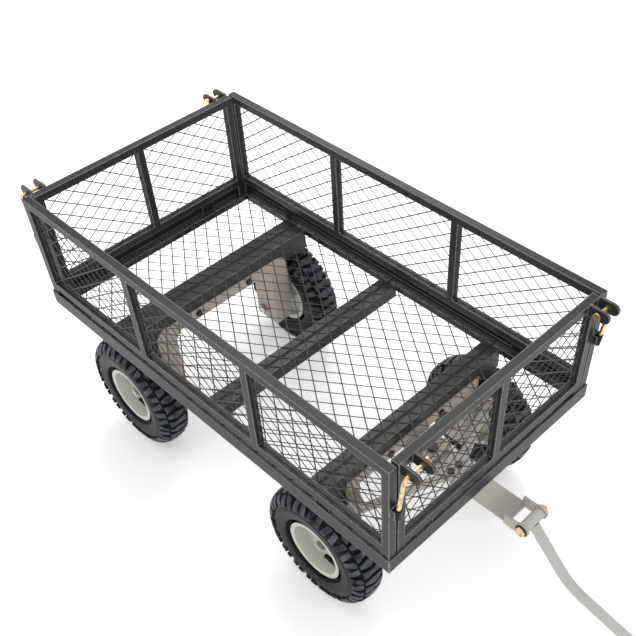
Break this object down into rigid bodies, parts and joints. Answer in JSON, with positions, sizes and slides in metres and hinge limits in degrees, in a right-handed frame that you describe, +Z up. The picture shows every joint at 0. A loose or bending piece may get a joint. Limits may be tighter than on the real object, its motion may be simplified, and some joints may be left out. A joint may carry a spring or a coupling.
{
  "type": "hand wagon",
  "caption": "Steel mesh garden cart with lift-out mesh panels, corner latches, pneumatic wheels, linked steering and a pull handle.",
  "frame": {"origin": "on the ground under the middle of the whole cart, handle down", "axes": "+X forward to the pull handle, +Y to the cart's left, +Z up"},
  "size_m": [2.3294, 0.676, 0.708],
  "materials": {
    "black_coat": "satin black powder coat",
    "taupe_coat": "satin taupe grey powder coat",
    "tongue_coat": "satin warm grey powder coat",
    "tube_coat": "satin grey powder coat",
    "rim_coat": "light grey powder coat",
    "yellow_zinc": "yellow zinc plated",
    "black_bolts": "black oxide",
    "bearing_steel": "ground steel",
    "tyre_rubber": "matte moulded rubber",
    "black_rubber": "matte moulded rubber"
  },
  "bodies": {
    "chassis": {"bed_rail_left": "black_coat", "bed_rail_right": "black_coat", "bed_rail_front": "black_coat", "bed_rail_rear": "black_coat", "floor_mesh": "black_coat", "crossbar_rear": "black_coat", "crossbar_middle": "black_coat", "crossbar_front": "black_coat", "rear_axle_carrier": "taupe_coat", "front_axle_beam": "taupe_coat", "carrier_bolts": "black_bolts", "rear_axle_shafts": "bearing_steel", "rear_axle_nuts": "bearing_steel", "steering_pivot_bolts": "black_bolts"},
    "tongue": {"tongue": "tongue_coat", "tie_rod_bolts": "black_bolts", "handle_pivot_bolt": "yellow_zinc"},
    "handle": {"handle_tube": "tube_coat", "handle_bush": "tongue_coat", "handle_grip": "tube_coat", "grip_sleeve": "black_rubber"},
    "tie_rod_left": {"tie_rod_left": "tongue_coat"},
    "knuckle_left": {"knuckle_left": "taupe_coat", "axle_nut_front_left": "bearing_steel"},
    "tie_rod_right": {"tie_rod_right": "tongue_coat"},
    "knuckle_right": {"knuckle_right": "taupe_coat", "axle_nut_front_right": "bearing_steel"},
    "wheel_front_left": {"tyre_front_left": "tyre_rubber", "rim_front_left": "rim_coat", "bearings_front_left": "bearing_steel", "valve_front_left": "black_rubber"},
    "wheel_front_right": {"tyre_front_right": "tyre_rubber", "rim_front_right": "rim_coat", "bearings_front_right": "bearing_steel", "valve_front_right": "black_rubber"},
    "wheel_rear_left": {"tyre_rear_left": "tyre_rubber", "rim_rear_left": "rim_coat", "bearings_rear_left": "bearing_steel", "valve_rear_left": "black_rubber"},
    "wheel_rear_right": {"tyre_rear_right": "tyre_rubber", "rim_rear_right": "rim_coat", "bearings_rear_right": "bearing_steel", "valve_rear_right": "black_rubber"},
    "panel_left": {"panel_frame_left": "black_coat", "panel_mesh_left": "black_coat"},
    "panel_right": {"panel_frame_right": "black_coat", "panel_mesh_right": "black_coat"},
    "panel_front": {"panel_frame_front": "black_coat", "panel_mesh_front": "black_coat"},
    "panel_rear": {"panel_frame_rear": "black_coat", "panel_mesh_rear": "black_coat"},
    "latch_front_left": {"latch_rod_front_left": "yellow_zinc", "latch_tip_front_left": "black_rubber"},
    "latch_front_right": {"latch_rod_front_right": "yellow_zinc", "latch_tip_front_right": "black_rubber"},
    "latch_rear_left": {"latch_rod_rear_left": "yellow_zinc", "latch_tip_rear_left": "black_rubber"},
    "latch_rear_right": {"latch_rod_rear_right": "yellow_zinc", "latch_tip_rear_right": "black_rubber"}
  },
  "joints": [
    {"name": "tongue_steer", "type": "hinge", "parent": "chassis", "child": "tongue", "pos_m": [-0.07625, 0, 0.313], "axis": [0, 0, 1], "range_deg": [-30, 30]},
    {"name": "handle_pitch", "type": "hinge", "parent": "tongue", "child": "handle", "pos_m": [0.21375, 0, 0.324], "axis": [0, -1, 0], "range_deg": [0, 105]},
    {"name": "knuckle_left_swivel", "type": "hinge", "parent": "chassis", "child": "knuckle_left", "pos_m": [-0.15625, 0.21, 0.3277], "axis": [0, 0, 1], "range_deg": [-30, 30]},
    {"name": "tie_rod_left_swing", "type": "hinge", "parent": "tongue", "child": "tie_rod_left", "pos_m": [-0.00625, 0.014, 0.3067], "axis": [0, 0, 1], "range_deg": [-30, 30]},
    {"name": "knuckle_right_swivel", "type": "hinge", "parent": "chassis", "child": "knuckle_right", "pos_m": [-0.15625, -0.21, 0.3277], "axis": [0, 0, 1], "range_deg": [-30, 30]},
    {"name": "tie_rod_right_swing", "type": "hinge", "parent": "tongue", "child": "tie_rod_right", "pos_m": [-0.00625, -0.014, 0.3067], "axis": [0, 0, 1], "range_deg": [-30, 30]},
    {"name": "wheel_front_left_spin", "type": "hinge", "parent": "knuckle_left", "child": "wheel_front_left", "pos_m": [-0.15625, 0.284, 0.166], "axis": [0, 1, 0], "continuous": true},
    {"name": "wheel_front_right_spin", "type": "hinge", "parent": "knuckle_right", "child": "wheel_front_right", "pos_m": [-0.15625, -0.284, 0.166], "axis": [0, 1, 0], "continuous": true},
    {"name": "wheel_rear_left_spin", "type": "hinge", "parent": "chassis", "child": "wheel_rear_left", "pos_m": [-0.88425, 0.284, 0.166], "axis": [0, 1, 0], "continuous": true},
    {"name": "wheel_rear_right_spin", "type": "hinge", "parent": "chassis", "child": "wheel_rear_right", "pos_m": [-0.88425, -0.284, 0.166], "axis": [0, 1, 0], "continuous": true},
    {"name": "panel_left_lift", "type": "slide", "parent": "chassis", "child": "panel_left", "axis": [0, 0, 1], "range_m": [0, 0.32]},
    {"name": "panel_right_lift", "type": "slide", "parent": "chassis", "child": "panel_right", "axis": [0, 0, 1], "range_m": [0, 0.32]},
    {"name": "panel_front_lift", "type": "slide", "parent": "chassis", "child": "panel_front", "axis": [0, 0, 1], "range_m": [0, 0.32]},
    {"name": "panel_rear_lift", "type": "slide", "parent": "chassis", "child": "panel_rear", "axis": [0, 0, 1], "range_m": [0, 0.32]},
    {"name": "latch_front_left_swing", "type": "hinge", "parent": "panel_front", "child": "latch_front_left", "pos_m": [0.12525, 0.322, 0.693], "axis": [0, -1, 0], "range_deg": [0, 95]},
    {"name": "latch_front_right_swing", "type": "hinge", "parent": "panel_front", "child": "latch_front_right", "pos_m": [0.12525, -0.322, 0.693], "axis": [0, -1, 0], "range_deg": [0, 95]},
    {"name": "latch_rear_left_swing", "type": "hinge", "parent": "panel_rear", "child": "latch_rear_left", "pos_m": [-1.13775, 0.322, 0.693], "axis": [0, 1, 0], "range_deg": [0, 95]},
    {"name": "latch_rear_right_swing", "type": "hinge", "parent": "panel_rear", "child": "latch_rear_right", "pos_m": [-1.13775, -0.322, 0.693], "axis": [0, 1, 0], "range_deg": [0, 95]}
  ],
  "couplings": [
    {"joint": "knuckle_left_swivel", "follows": "tongue_steer", "ratio": 1},
    {"joint": "tie_rod_left_swing", "follows": "tongue_steer", "ratio": -1},
    {"joint": "knuckle_right_swivel", "follows": "tongue_steer", "ratio": 1},
    {"joint": "tie_rod_right_swing", "follows": "tongue_steer", "ratio": -1}
  ]
}
